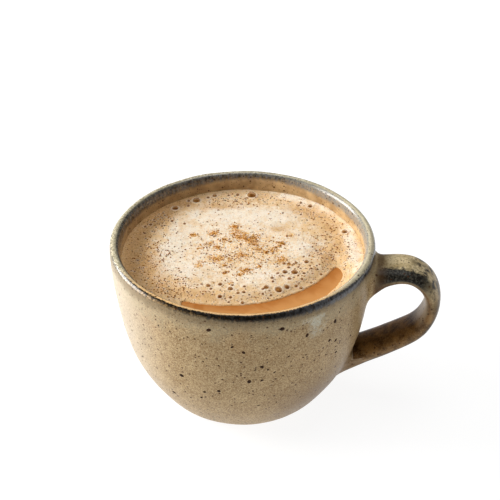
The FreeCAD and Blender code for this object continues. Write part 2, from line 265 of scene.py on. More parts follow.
def stoneware():
    """Sand-coloured satin glaze with iron specks, blue-black bands at the lip, and bare clay under."""
    f = Finish("speckled_stoneware", IOR=1.5)
    at = f.place()
    x, y, z = f.split(at)
    radius = f.calc("SQRT", f.calc("ADD", f.calc("MULTIPLY", x, x), f.calc("MULTIPLY", y, y)))
    inside = f.attribute("inside")
    strap = f.attribute("strap")
    outer_side = f.attribute("outer_side")
    run = f.attribute("run")

    broad = f.noise(at, 0.055, 2.0)
    patchy = f.noise(at, 0.22, 4.0, 0.6)
    grain = f.noise(at, 1.3, 3.0, 0.65)
    fine = f.noise(at, 2.0, 3.0, 0.65)
    streaks = f.noise(f.stretched(at, 1.0, 1.0, 0.25), 0.8, 3.0, 0.6)

    # The body of the cup.
    sand = f.mix(f.step(patchy, 0.35, 0.7), srgb(166, 138, 97), srgb(188, 161, 119))
    sand = f.mix(f.step(grain, 0.44, 0.6, 0.0, 0.65), sand, srgb(138, 107, 68))
    sand = f.mix(f.step(fine, 0.48, 0.62, 0.0, 0.6), sand, srgb(212, 190, 148))
    sand = f.mix(f.step(fine, 0.46, 0.34, 0.0, 0.5), sand, srgb(118, 88, 52))
    warm = f.calc("MULTIPLY", f.step(broad, 0.5, 0.72), f.step(z, 30, 60))
    sand = f.mix(f.calc("MULTIPLY", warm, 0.3), sand, srgb(176, 132, 80))

    # Painted sheen: the wall turns paler and greyer towards the left, the side the window lights.
    sand = f.mix(f.step(x, -16.0, -47.0, 0.0, 0.6), sand, srgb(192, 184, 170))
    # Painted shade: the lower right of the wall, away from the window, is darkened.
    shaded_low_right = f.calc("MULTIPLY", f.step(x, 4.0, 34.0, 0.0, 0.75), f.step(z, 38.0, 14.0))
    sand = f.mix(shaded_low_right, sand, srgb(104, 76, 44))

    # A thin grey veil of thicker glaze under the dark band, with a brown line where it ends.
    veil_edge = f.calc("ADD", z, f.step(f.noise(at, 0.13, 3.0), 0.3, 0.7, -3.0, 3.0))
    veil = f.calc("MULTIPLY", f.step(veil_edge, 54.0, 60.0), f.step(grain, 0.35, 0.65, 0.15, 0.55))
    wall = f.mix(veil, sand, srgb(170, 160, 132))
    fade = f.step(f.calc("ADD", z, f.step(streaks, 0.25, 0.75, -0.8, 0.8)), 59.5, 63.5, 0.0, 0.6)
    wall = f.mix(fade, wall, srgb(112, 94, 66))

    # Painted highlight: one pale soft patch of sheen on the front right, under the lip.
    aside = f.calc("ABSOLUTE", f.calc("SUBTRACT", x, 30.4))
    pale = f.calc("SUBTRACT", f.step(z, 51.0, 60.0, 0.8, 2.8), aside)
    pale = f.step(f.calc("ADD", pale, f.step(patchy, 0.3, 0.7, -1.6, 1.6)), -2.0, 1.6)
    pale = f.calc("MULTIPLY", pale, f.step(z, 50.0, 54.5))
    pale = f.calc("MULTIPLY", pale, f.step(z, 62.0, 60.0))
    pale = f.calc("MULTIPLY", pale, f.step(y, -30.0, -33.0))
    pale = f.calc("MULTIPLY", pale, f.step(grain, 0.35, 0.6, 0.2, 0.85))
    wall = f.mix(pale, wall, srgb(206, 204, 186))

    # Dark iron bands: one on the outside of the lip, thin at the left, and one just inside it.
    ragged = f.calc("ADD", z, f.step(streaks, 0.25, 0.75, -0.3, 0.3))
    ragged = f.calc("ADD", ragged, f.step(grain, 0.3, 0.7, -0.2, 0.2))
    band_foot = f.calc("ADD", f.step(x, 14.0, -32.0, 64.0, 65.1), f.step(x, 15.0, 44.0, 0.0, -0.6))
    band_out = f.step(f.calc("SUBTRACT", ragged, band_foot), -1.0, 0.8)
    crown = f.step(y, -12.0, -40.0, 48.3, 47.35)
    speckled = f.step(grain, 0.3, 0.7, -0.2, 0.2)
    past_crown = f.calc("ADD", f.calc("SUBTRACT", radius, crown), speckled)
    band_out = f.calc("MULTIPLY", band_out, f.step(past_crown, -0.2, 0.3))
    side = f.calc("ABSOLUTE", x)
    in_foot = f.step(side, 2.0, 34.0, 63.9, 62.2)
    band_in = f.step(f.calc("SUBTRACT", ragged, in_foot), -0.8, 0.8)
    band_in = f.calc("MULTIPLY", band_in, f.step(f.calc("ADD", radius, speckled), 46.6, 46.1))
    band_in = f.calc("MULTIPLY", band_in, f.step(inside, 0.5, 0.6))
    band_in = f.calc("MULTIPLY", band_in, f.step(grain, 0.36, 0.64, 1.0, 0.6))
    iron = f.mix(f.step(streaks, 0.42, 0.7), srgb(20, 16, 11), srgb(50, 47, 42))
    steel = f.calc("MULTIPLY", f.step(x, 14.0, 36.0), f.step(streaks, 0.34, 0.6, 0.15, 0.9))
    iron = f.mix(steel, iron, srgb(92, 92, 94))
    inner_iron_and_highlight = f.mix(f.step(streaks, 0.36, 0.66), srgb(26, 25, 25), srgb(98, 97, 98))
    # Painted highlight: towards the right the dark inner band turns light grey, where the window's reflection
    # lies on it.
    inner_iron_and_highlight = f.mix(f.step(x, 2.0, 26.0, 0.0, 0.6), inner_iron_and_highlight, srgb(158, 156, 148))
    lip = f.mix(f.step(grain, 0.35, 0.62), srgb(206, 197, 168), srgb(146, 137, 112))
    lip = f.mix(f.step(x, 10.0, 40.0, 0.0, 0.6), lip, srgb(218, 206, 174))
    lip = f.mix(f.step(y, -22.0, -40.0, 0.0, 0.9), lip, srgb(238, 192, 130))
    lip_zone = f.step(z, 64.6, 65.4)

    # Inside, the glaze is golden and runs in streaks.
    gold = f.mix(f.step(patchy, 0.3, 0.7), srgb(168, 134, 90), srgb(208, 174, 126))
    inner = f.step(inside, 0.5, 0.9)
    colour = f.mix(inner, wall, gold)
    colour = f.mix(lip_zone, colour, lip)
    colour = f.mix(band_in, colour, inner_iron_and_highlight)
    colour = f.mix(band_out, colour, iron)

    # The strap: olive on its outer side, iron along its near edge and bend, brown within.
    olive = f.mix(f.step(patchy, 0.35, 0.65), srgb(188, 166, 120), srgb(232, 212, 168))
    olive = f.mix(f.step(grain, 0.5, 0.66, 0.0, 0.6), olive, srgb(112, 88, 52))
    brown = f.mix(f.step(patchy, 0.3, 0.7), srgb(72, 44, 14), srgb(142, 104, 56))
    brown = f.mix(f.step(fine, 0.5, 0.7, 0.0, 0.4), brown, srgb(176, 152, 112))
    within = f.calc("MULTIPLY", f.step(run, 0.36, 0.48), f.step(run, 0.72, 0.58))
    brown = f.mix(f.calc("MULTIPLY", within, f.step(outer_side, 0.4, 0.1)), brown, srgb(206, 186, 158))
    skin = f.mix(f.step(outer_side, 0.3, 0.6), brown, olive)
    skin = f.mix(f.step(run, 0.34, 0.62, 0.0, 0.9), skin, brown)
    near = f.calc("ADD", y, f.step(streaks, 0.25, 0.75, -0.9, 0.9))
    rim = f.calc("MULTIPLY", f.step(near, -2.9, -4.9), f.step(outer_side, 0.34, 0.56))
    rim = f.calc("MULTIPLY", rim, f.step(run, 0.06, 0.12))
    rim = f.calc("MULTIPLY", rim, f.step(run, 0.5, 0.36))
    bend = f.calc("MULTIPLY", f.step(run, 0.24, 0.36), f.step(run, 0.62, 0.44))
    bend = f.calc("MULTIPLY", bend, f.step(f.noise(at, 0.32, 3.0, 0.5), 0.42, 0.62, 0.0, 0.95))
    bend = f.calc("MULTIPLY", bend, f.step(outer_side, 0.5, 0.8))
    edge = f.calc("MULTIPLY", f.step(run, 0.45, 0.6), f.step(outer_side, 0.55, 0.9, 0.0, 0.7))
    dark = f.calc("MAXIMUM", f.calc("MAXIMUM", rim, bend), edge)
    skin = f.mix(dark, skin, f.mix(f.step(grain, 0.42, 0.66), srgb(26, 21, 15), srgb(84, 82, 72)))
    collar = f.calc("MULTIPLY", f.step(run, 0.0, 0.08), f.step(run, 0.19, 0.11, 0.0, 0.8))
    skin = f.mix(collar, skin, srgb(84, 60, 34))
    colour = f.mix(f.step(strap, 0.25, 0.9), colour, skin)

    # Iron specks.
    dots = f.calc("MAXIMUM", f.specks(at, 0.75, 0.4, 0.34), f.specks(at, 0.36, 0.4, 0.2))
    dots = f.calc("MAXIMUM", dots, f.calc("MULTIPLY", f.specks(at, 1.5, 0.6, 0.36), 0.7))
    colour = f.mix(f.calc("MULTIPLY", dots, 0.85), colour, srgb(74, 44, 18))

    # Bare clay under the foot.
    bare = f.calc("MULTIPLY", f.step(z, 1.3, 0.7), f.step(radius, 27.2, 26.4))
    clay = f.mix(f.step(grain, 0.4, 0.6), srgb(150, 122, 92), srgb(172, 146, 114))
    colour = f.mix(bare, colour, clay)

    shine = f.calc("MAXIMUM", f.calc("MAXIMUM", lip_zone, band_out), inner)
    rough = f.step(f.calc("ADD", shine, f.step(grain, 0.3, 0.7, -0.1, 0.1)), 0.0, 1.0, 0.36, 0.12)
    rough = f.calc("MAXIMUM", rough, f.calc("MULTIPLY", bare, 0.85))
    gloss = f.step(shine, 0.0, 1.0, 0.16, 0.6)
    front = f.calc("MULTIPLY", band_out, f.step(y, -30.0, -42.0))
    f.feed(f.surface.inputs["Specular IOR Level"], f.mix_value(front, gloss, 0.08))
    relief = f.calc("ADD", f.calc("MULTIPLY", grain, 0.6), f.calc("MULTIPLY", dots, -0.5))
    relief = f.calc("ADD", relief, f.calc("MULTIPLY", fine, 0.25))
    f.feed(f.surface.inputs["Base Color"], colour)
    f.feed(f.surface.inputs["Roughness"], rough)
    f.feed(f.surface.inputs["Normal"], f.bump(relief, 0.00014, 0.8))
    return f


def tea_finish():
    """Milky tea: opaque caramel, wet, darker in a band beside the froth's shore."""
    f = Finish("milky_tea", Roughness=0.16, IOR=1.34)
    at = f.place()
    from_shore = f.node("ShaderNodeVectorMath", operation="DISTANCE")
    f.feed(from_shore.inputs[0], f.stretched(at, 1.0, 1.0, 0.0))
    shore_middle = seen(-SHORE_SHIFT * CRESCENT_RIGHT, -SHORE_SHIFT * CRESCENT_BACK)
    f.feed(from_shore.inputs[1], (*shore_middle, 0.0))
    swirl = f.step(f.noise(at, 0.12, 3.0, 0.5, 1.2), 0.3, 0.7, -1.5, 1.5)
    out = f.step(f.calc("ADD", from_shore.outputs["Value"], swirl), SHORE_CURVE - 1.2, SHORE_CURVE + 6.8)
    colour = f.mix(out, srgb(180, 112, 50), srgb(206, 146, 84))
    f.feed(f.surface.inputs["Base Color"], colour)
    f.feed(f.surface.inputs["Normal"], f.bump(f.noise(at, 0.25, 1.0), 0.0002, 0.5))
    return f


def froth_finish():
    """Milk foam: white where it is thick, tan where it is thin, with painted shade by the wall at the left,
    stained by the spice.
    """
    f = Finish("milk_froth", IOR=1.35, Specular_IOR_Level=0.12, Subsurface_Weight=0.1, Subsurface_Scale=0.001)
    f.surface.inputs["Subsurface Radius"].default_value = (1.0, 0.7, 0.45)
    at = f.place()
    flat = f.stretched(at, 1.0, 1.0, 0.0)
    patchy = f.noise(flat, 0.3, 5.0, 0.65)
    grain = f.noise(flat, 1.5, 4.0, 0.7)
    cream = f.calc("ADD", f.attribute("cream"), f.step(patchy, 0.3, 0.7, -0.35, 0.35))
    tan_and_shade = f.calc("ADD", f.attribute("tan_and_shade"), f.step(grain, 0.3, 0.7, 0.25, -0.25))
    colour = f.mix(f.step(cream, 0.0, 1.0), srgb(231, 197, 150), srgb(246, 234, 215))
    colour = f.mix(f.step(tan_and_shade, 0.15, 1.0, 0.0, 0.6), colour, srgb(214, 168, 112))
    # Darker still where the patches are strongest: by the shore this is tea showing through, and by the wall
    # at the left it is painted shade.
    colour = f.mix(f.step(tan_and_shade, 0.75, 1.2, 0.0, 0.6), colour, srgb(172, 122, 68))
    colour = f.mix(f.step(grain, 0.5, 0.7, 0.0, 0.34), colour, srgb(212, 166, 112))

    # Spice that has soaked in: a wide pale stain, and dark where it was thick.
    dust = f.attribute("dust")
    crumbs = f.step(f.noise(flat, 1.1, 2.0, 0.6), 0.35, 0.65, -0.3, 0.3)
    stain = f.step(f.calc("ADD", dust, crumbs), 0.06, 0.8, 0.0, 0.85)
    colour = f.mix(stain, colour, srgb(240, 192, 108))
    soaked = f.calc("ADD", dust, f.step(f.noise(flat, 1.9, 2.0, 0.6), 0.35, 0.65, -0.5, 0.3))
    colour = f.mix(f.step(soaked, 0.36, 0.8, 0.0, 0.9), colour, srgb(198, 120, 42))
    fleck = f.calc("MAXIMUM", f.specks(flat, 1.2, 0.3, 0.26), f.specks(flat, 0.7, 0.2, 0.2))
    colour = f.mix(f.calc("MULTIPLY", fleck, 0.75), colour, srgb(136, 78, 22))

    # Fine open bubbles.
    bubbly = f.attribute("bubbly")
    pores = None
    for scale, share in ((1.35, 0.55), (2.4, 0.7)):
        distance, chance = f.cells(flat, scale)
        reach = f.step(chance, 1 - share, 1.0, 0.0, 0.4)
        pore = f.step(f.calc("SUBTRACT", reach, distance), 0.0, 0.1)
        pores = pore if pores is None else f.calc("MAXIMUM", pores, pore)
    pores = f.calc("MULTIPLY", pores, bubbly)
    colour = f.mix(f.calc("MULTIPLY", pores, 0.75), colour, srgb(150, 94, 42))
    colour = f.mix(f.step(f.attribute("pit"), 0.1, 0.9, 0.0, 0.9), colour, srgb(146, 92, 42))
    colour = f.mix(f.calc("MULTIPLY", f.attribute("rim"), 0.7), colour, srgb(250, 238, 218))
    relief = f.calc("SUBTRACT", f.calc("MULTIPLY", grain, 0.5), pores)
    f.feed(f.surface.inputs["Base Color"], colour)
    f.feed(f.surface.inputs["Roughness"], f.step(pores, 0.0, 1.0, 0.55, 0.3))
    f.feed(f.surface.inputs["Normal"], f.bump(relief, 0.00022, 0.8))
    return f


def film_finish():
    """The skin of a bubble: thin, bright, with the brown of the tea behind it."""
    f = Finish("bubble_film", Roughness=0.12, IOR=1.33, Alpha=0.45, Specular_IOR_Level=0.05)
    at = f.place()
    colour = f.mix(f.step(f.noise(at, 0.9, 2.0), 0.35, 0.65), srgb(146, 88, 32), srgb(204, 150, 84))
    f.feed(f.surface.inputs["Base Color"], colour)
    return f


def spice_finish():
    """Ground cinnamon and cardamom: ochre to dark brown."""
    f = Finish("ground_spice", Roughness=0.9, Specular_IOR_Level=0.0)
    at = f.place()
    tint = f.attribute("tint")
    colour = f.mix(f.step(tint, 0.1, 0.9), srgb(132, 72, 18), srgb(236, 174, 82))
    colour = f.mix(f.step(f.noise(at, 6.0, 2.0), 0.4, 0.6, 0.0, 0.35), colour, srgb(136, 76, 26))
    f.feed(f.surface.inputs["Base Color"], colour)
    return f


def iron_finish():
    """A large iron speck, burnt nearly black and brown in places."""
    f = Finish("iron_spot", Roughness=0.5, Specular_IOR_Level=0.06)
    at = f.place()
    colour = f.mix(f.step(f.noise(at, 2.5, 2.0), 0.4, 0.65), srgb(34, 20, 12), srgb(78, 50, 28))
    f.feed(f.surface.inputs["Base Color"], colour)
    return f


# ---------------------------------------------------------------- the cup

SIDES = 48
SIDE_ANGLE = 2 * math.pi / SIDES
ROUNDING_LOSS = 1 + (1 - math.cos(SIDE_ANGLE)) / 3

# Stations of the wall, radius and height, from the lip down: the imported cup's driving sizes.
RIM_RADIUS = 49.0
LIP_THICKNESS = 3.8
SIDE_CURVE = 200.0
OUTER_STATIONS = [(RIM_RADIUS, 66.0), (45.1, 32.4), (38.35, 14.0), (30.9, 3.0), (25.8, 0.0)]
INNER_STATIONS = [(RIM_RADIUS - LIP_THICKNESS, 66.0), (40.7, 32.4), (32.95, 14.0)]
FLOOR_HEIGHT = 6.0
CENTRE_HOLE = 8.0

# The turned foot: its ring, the hollow inside it, and how far its edges are rounded off.
FOOT_RADIUS = 25.8
RING_INSIDE = 20.8
FOOT_RECESS = 1.4
FOOT_ROUNDING = 0.8

# Heights at which the modeller cuts a row: up the outside, then down the inside.
UPPER_ROWS = (47.6, 52.4, 56.0, 59.8)
LOWER_ROWS = (11.0, 14.6, 18.2, 22.0)
OUTER_ROWS = (1.2, 3.0, 6.0) + LOWER_ROWS + (26.0, 32.0, 39.5) + UPPER_ROWS
INNER_ROWS = (62.4, 58.6, 54.5, 48.5, 41.0, 32.4, 22.0, 14.0, 8.6, 6.1)
LIP_TURNS = (0, 45, 90, 135, 180)
LIP_FULLNESS = 1.06
UPPER_PATCH = (UPPER_ROWS[0], UPPER_ROWS[-1])
LOWER_PATCH = (LOWER_ROWS[0], LOWER_ROWS[-1])
PATCH_SIDES = 3

# The strap's middle line: two bends that meet at its furthest reach, then a straight arm.
GRIP_REACH = 71.1
GRIP_LEVEL = 57.7
UPPER_BEND = 11.9
LOWER_BEND = 19.3
ARM_HEADING = 149
BEND_HEADINGS = (3, 24, 50, 78, 100, 121, 137)
ROOT_STEPS = ((1.6, 3.1, -5), (4.8, 1.3, -6))  # out from the rim, under the level, heading
ARM_RUNS = (5.2, 14.5, 20.3)
STRAP_WIDTH, ROOT_SPREAD, TAIL_SPREAD = 16.1, 1.7, 0.7
STRAP_DEPTH, ROOT_SWELL, TAIL_SWELL = 6.2, 5.2, 3.2
SECTION_ROUNDNESS = 0.8

# Unevenness left by the potter's hands: how far apart, and how deep.
THROWING_SPACING = 14.0
THROWING_DEPTH = 0.35


def wall_line(stations, floor=None):
    """Tangent arcs down the wall through its stations: lowest height, centre and radius of each."""
    top, below = stations[:2]
    lean = math.atan2(top[0] - below[0], top[1] - below[1])
    lean -= math.asin(math.dist(top, below) / (2 * SIDE_CURVE))
    arcs = []
    for upper, lower in zip(stations, stations[1:]):
        next_lean = 2 * math.atan2(upper[0] - lower[0], upper[1] - lower[1]) - lean
        curve = math.dist(upper, lower) / (2 * math.sin((next_lean - lean) / 2))
        centre = (upper[0] - curve * math.cos(lean), upper[1] + curve * math.sin(lean))
        arcs.append((lower[1], centre, curve))
        lean = next_lean
    if floor is not None:
        last_radius, last_height = stations[-1]
        curve = (last_height - floor) / (1 - math.sin(lean))
        arcs.append((floor, (last_radius - curve * math.cos(lean), floor + curve), curve))
    return arcs


def wall_radius(arcs, height):
    """Radius of a wall line at a height."""
    _, (across, up), curve = next(arc for arc in arcs if height >= arc[0])
    return across + math.sqrt(curve**2 - (height - up) ** 2)


def cup_outline():
    """The turned outline, radius and height: hollow under the foot, foot ring, wall, lip, inside."""
    outer = wall_line(OUTER_STATIONS)
    inner = wall_line(INNER_STATIONS, FLOOR_HEIGHT)
    rows = [(CENTRE_HOLE, FOOT_RECESS), (2 * CENTRE_HOLE, FOOT_RECESS)]
    rows += [(RING_INSIDE - 0.5, FOOT_RECESS - 0.1), (RING_INSIDE + 0.1, 0.5)]
    rows += [(RING_INSIDE + FOOT_ROUNDING, 0.0), (FOOT_RADIUS - FOOT_ROUNDING, 0.0)]
    rows += [(FOOT_RADIUS + 0.6, 0.25)]
    rows += [(wall_radius(outer, height), height) for height in OUTER_ROWS]
    rounding = LIP_THICKNESS / 2
    for turn in LIP_TURNS:
        across, up = math.cos(math.radians(turn)), math.sin(math.radians(turn))
        middle = RIM_RADIUS - rounding
        rows.append((middle + rounding * across, CUP_HEIGHT - rounding + LIP_FULLNESS * rounding * up))
    rows += [(wall_radius(inner, height), height) for height in INNER_ROWS]
    return rows + [(CENTRE_HOLE, FLOOR_HEIGHT)]


def strap_route():
    """Stations along the strap: reach and height of its middle, heading below level, width, depth."""
    bends_level = GRIP_LEVEL - UPPER_BEND
    middles = [(RIM_RADIUS + out, GRIP_LEVEL - under, heading) for out, under, heading in ROOT_STEPS]
    for heading in BEND_HEADINGS + (ARM_HEADING,):
        bend = UPPER_BEND if heading < 90 else LOWER_BEND
        turn = math.radians(heading)
        reach = GRIP_REACH - bend + bend * math.sin(turn)
        middles.append((reach, bends_level + bend * math.cos(turn), heading))
    reach, height, heading = middles.pop()
    for run in ARM_RUNS:
        turn = math.radians(heading)
        middles.append((reach + run * math.cos(turn), height - run * math.sin(turn), heading))
    route = []
    for number, (reach, height, heading) in enumerate(middles):
        share = number / (len(middles) - 1)
        width = STRAP_WIDTH + ROOT_SPREAD * (1 - share) ** 4 + TAIL_SPREAD * share**8
        depth = STRAP_DEPTH + ROOT_SWELL * (1 - share) ** 12 + TAIL_SWELL * share**4
        route.append((reach, height, heading, width, depth))
    return route


OUTLINE = cup_outline()
CROWN_ROW = max(range(len(OUTLINE)), key=lambda row: OUTLINE[row][1])
STRAP = strap_route()


def draw_bowl():
    """Draws one ring up through the outline, row by row, and closes both ends."""
    deselect()
    first_radius, first_height = OUTLINE[0]
    bpy.ops.mesh.primitive_circle_add(
        vertices=SIDES,
        radius=first_radius * ROUNDING_LOSS * MM,
        location=(0, 0, first_height * MM),
        rotation=(0, 0, SIDE_ANGLE / 2),
    )
    cup = name_piece("stoneware_cup")
    settle(cup)
    edit(cup, "EDGE")
    bpy.ops.mesh.select_all(action="SELECT")
    bpy.ops.mesh.edge_face_add()
    bpy.ops.mesh.select_all(action="DESELECT")
    pick(cup, "edges", lambda edge: True)
    for row, (radius, height) in enumerate(OUTLINE[1:], 1):
        before_radius, before_height = OUTLINE[row - 1]
        rise = (0, 0, (height - before_height) * MM)
        bpy.ops.mesh.extrude_edges_move(TRANSFORM_OT_translate={"value": rise})
        wider = radius / before_radius
        bpy.ops.transform.resize(value=(wider, wider, 1), center_override=(0, 0, 0))
        note(cup, "inside", 1.0 if row > CROWN_ROW else 0.5 if row == CROWN_ROW else 0.0)
    bpy.ops.mesh.edge_face_add()
    close_edit()
    outward_normals(cup)
    return cup


def on_patch(face, low, high):
    """True for a wall face beside +X that lies between two rows, in the strap's width."""
    centre = face.calc_center_median() / MM
    bearing = math.atan2(centre.y, centre.x)
    outside = math.hypot(centre.x, centre.y) > 35 and face.normal.x > 0
    return outside and abs(bearing) < PATCH_SIDES / 2 * SIDE_ANGLE and low < centre.z < high


def strap_layers(mesh):
    layers = mesh.verts.layers.float
    return [layers.get(name) or layers.new(name) for name in ("strap", "outer_side", "run")]


def mark_station(cup, number):
    """Notes on the selected section where it lies along the strap, and which side is outer."""
    mesh = bmesh.from_edit_mesh(cup.data)
    strap, outer_side, run = strap_layers(mesh)
    reach, height, heading, _, _ = STRAP[number]
    middle = Vector((reach, 0, height)) * MM
    outer = Vector((math.sin(math.radians(heading)), 0, math.cos(math.radians(heading))))
    for vert in mesh.verts:
        if vert.select:
            vert[strap] = 1.0
            vert[run] = (number + 1) / len(STRAP)
            above = (vert.co - middle).dot(outer) / MM
            vert[outer_side] = min(1.0, max(0.0, 0.5 + above / STRAP[number][4]))
    bmesh.update_edit_mesh(cup.data)


def tip_section(angle, centre):
    """Tips the selected section downwards, away from +Z towards +X."""
    bpy.ops.transform.rotate(value=-math.radians(angle), orient_axis="Y", center_override=centre)


def pull_strap(cup):
    """Pulls the handle out of the wall under the lip, round its loop, and joins it to the wall."""
    edit(cup, "FACE")
    strap_layers(bmesh.from_edit_mesh(cup.data))
    pick(cup, "faces", lambda face: on_patch(face, *UPPER_PATCH))
    low, high = UPPER_PATCH
    wall = wall_radius(wall_line(OUTER_STATIONS), (low + high) / 2)
    place = Vector((wall * ROUNDING_LOSS, 0, (low + high) / 2))
    width = 2 * place.x * math.sin(PATCH_SIDES / 2 * SIDE_ANGLE)
    depth = high - low
    heading = 0.0
    for number, (reach, height, next_heading, next_width, next_depth) in enumerate(STRAP):
        next_place = Vector((reach, 0, height))
        bpy.ops.mesh.extrude_region_move(
            TRANSFORM_OT_translate={"value": (next_place - place) * MM}
        )
        centre = tuple(next_place * MM)
        tip_section(-heading, centre)
        if number == 0:
            bpy.ops.transform.resize(value=(0, 1, width / depth), center_override=centre)
            bpy.ops.transform.tosphere(value=SECTION_ROUNDNESS)
            depth = width
        across, thick = next_width / width, next_depth / depth
        bpy.ops.transform.resize(value=(1, across, thick), center_override=centre)
        tip_section(next_heading, centre)
        mark_station(cup, number)
        place, width, depth, heading = next_place, next_width, next_depth, next_heading
    bpy.ops.mesh.delete(type="FACE")
    pick(cup, "faces", lambda face: on_patch(face, *LOWER_PATCH))
    bpy.ops.mesh.delete(type="FACE")
    bpy.ops.mesh.select_mode(type="EDGE")
    pick(cup, "edges", lambda edge: edge.is_boundary)
    bpy.ops.mesh.bridge_edge_loops()
    close_edit()


def model_cup():
    cup = draw_bowl()
    pull_strap(cup)
    outward_normals(cup)
    apply_modifier(cup, "SUBSURF", levels=2, render_levels=2)
    throwing = bpy.data.textures.new("throwing", "CLOUDS")
    throwing.noise_scale = THROWING_SPACING * MM
    apply_modifier(cup, "DISPLACE", texture=throwing, strength=THROWING_DEPTH * MM, mid_level=0.5)
    smooth(cup)
    stoneware().wear(cup)
    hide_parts("cup")
    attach(cup, "root")
    return cup


# Freckled stretches of the wall: bearing from the handle, height, spread round, spread up, count.
FRECKLED = [
    (285, 42, 16, 11, 17), (312, 42, 9, 10, 12), (252, 42, 12, 11, 9),
    (65, 42, 22, 10, 12), (125, 40, 20, 10, 11), (190, 42, 18, 10, 10),
]
LOWEST_FRECKLE, HIGHEST_FRECKLE = 20.0, 59.5
SMALLEST_FRECKLE, LARGEST_FRECKLE = 0.75, 2.1
FRECKLE_THICKNESS = 0.16
CLEAR_OF_HANDLE = 18
OUTSIDE_CUP = 80


def scatter(name, pattern, places, tints=None):
    """One joined piece made of copies of a small pattern mesh, one at each placing matrix."""
    points = np.array([tuple(v.co) + (1.0,) for v in pattern.data.vertices])
    faces = [tuple(face.vertices) for face in pattern.data.polygons]
    count = len(points)
    joined_points = np.concatenate([(points @ np.array(place).T)[:, :3] for place in places])
    joined_faces = [
        tuple(v + number * count for v in face) for number in range(len(places)) for face in faces
    ]
    mesh = bpy.data.meshes.new(name)
    mesh.from_pydata(joined_points.tolist(), [], joined_faces)
    mesh.update()
    if tints is not None:
        layer = mesh.attributes.new("tint", "FLOAT", "POINT")
        layer.data.foreach_set("value", np.repeat(tints, count).astype(np.float32))
    piece = bpy.data.objects.new(name, mesh)
    bpy.context.scene.collection.objects.link(piece)
    bpy.data.objects.remove(pattern)
    smooth(piece)
    return piece


def pebble(subdivisions):
    """A small round pattern, one unit across."""
    deselect()
    bpy.ops.mesh.primitive_ico_sphere_add(subdivisions=subdivisions, radius=0.5)
    pattern = name_piece("pebble")
    edit(pattern)
    bpy.ops.mesh.select_all(action="SELECT")
    bpy.ops.transform.vertex_random(offset=0.06, seed=4)
    close_edit()
    return pattern


def model_iron_spots(cup):
    """Flat burnt specks that sit in the glaze, each laid on the wall where a ray meets it."""
    draw = random.Random(5)
    places = []
    for at_bearing, at_height, around, up, count in FRECKLED:
        for _ in range(count):
            bearing = draw.gauss(at_bearing, around)
            height = min(HIGHEST_FRECKLE, max(LOWEST_FRECKLE, draw.gauss(at_height, up)))
            length = SMALLEST_FRECKLE + (LARGEST_FRECKLE - SMALLEST_FRECKLE) * draw.random() ** 3
            width = length * draw.uniform(0.6, 0.95)
            lean = draw.uniform(0, math.pi)
            if abs((bearing + 180) % 360 - 180) < CLEAR_OF_HANDLE:
                continue
            turn = math.radians(bearing)
            inward = Vector((-math.cos(turn), -math.sin(turn), 0))
            start = Vector((0, 0, height * MM)) - inward * OUTSIDE_CUP * MM
            hit, spot, normal, _ = cup.ray_cast(start, inward)
            if hit:
                face_out = normal.to_track_quat("Z", "Y").to_matrix().to_4x4()
                shape = Matrix.Diagonal((width * MM, length * MM, FRECKLE_THICKNESS * MM, 1.0))
                laid = face_out @ Matrix.Rotation(lean, 4, "Z") @ shape
                places.append(Matrix.Translation(spot) @ laid)
    spots = scatter("iron_spots", pebble(2), places)
    iron_finish().wear(spots)
    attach(spots, "root")


# ---------------------------------------------------------------- the froth

# White foam: right, back, size across, size back, turn in degrees.
WHITE_FOAM = [
    (-4, 8, 24, 24, 0), (-26, 5, 5, 16, -15), (-20, -9, 7, 8, 20), (-4, 27, 16, 6, -5),
    (12, 26, 9, 6, 0), (21, 5, 8, 8, 0), (5, -14, 12, 6, 10), (33, 33, 4, 9, 40),
    (41, 4, 3, 18, 5), (20, 38, 10, 2.5, -30),
]
# Thin, tea-stained foam, and painted shade on the foam by the wall at the left and back left.
TAN_FOAM_AND_SHADE = [
    (-38, 3, 5, 24, 0), (-31, 27, 8, 6, 40), (-30, -20, 8, 8, -40), (33, 18, 4, 6, 20),
    (28, 27, 7, 4, -25), (36, 5, 3, 8, 5), (22, 31, 7, 3, -30), (-34, -8, 5, 10, -10),
    (-14, -25, 12, 3, -8), (14, 17, 5, 3, 0), (30, 0, 4, 8, 20), (-10, 33, 12, 3, 0),
    # Painted shade: these last six patches darken the foam next to the wall, where its shadow falls.
    (-42, 4, 4, 26, 0), (-30, 31, 12, 5, 40), (-40, -8, 4, 14, -10),
    (-33, 26, 10, 6, 50), (-23, 36, 9, 3, 25), (-38, 17, 9, 5, 70),
]
# Spice as it was sprinkled: right, back, radius, grains, how much of it is pale.
SPRINKLES = [
    (3, 10.5, 4.4, 170, 0.75), (-1.5, 12.5, 3.0, 60, 0.8), (14.5, 7, 2.4, 70, 0.65),
    (-9.5, 4.5, 1.7, 42, 0.45), (-12, 7, 2.2, 45, 0.8), (-16, 4.5, 1.8, 32, 0.85),
    (-18.5, 13, 1.8, 30, 0.6), (-11, 14, 2.6, 50, 0.7), (-3, 18.5, 2.6, 46, 0.85),
    (-2.5, 15, 2.0, 30, 0.8), (-10, -3, 3.4, 80, 0.7), (-5, -3.5, 2.6, 40, 0.7),
    (0, 0, 3.2, 60, 0.8), (14, -3.5, 2.6, 80, 0.7), (17, -6.5, 1.5, 26, 0.5),
    (-6.5, -11.5, 1.5, 42, 0.35), (-1.5, -13.5, 1.5, 34, 0.6), (1, -10.5, 2.5, 78, 0.5),
    (6, -8, 1.4, 20, 0.6), (9, 1, 1.8, 30, 0.6), (-16, -6.5, 2.4, 36, 0.8),
    (-4.5, -18, 1.4, 14, 0.95), (6, 4.5, 3.2, 60, 0.7), (12, 3, 2.0, 24, 0.7),
    (-7, 9.5, 2.2, 34, 0.7), (-6.5, -7.5, 1.4, 20, 0.55), (18, 12, 1.6, 14, 0.6),
]
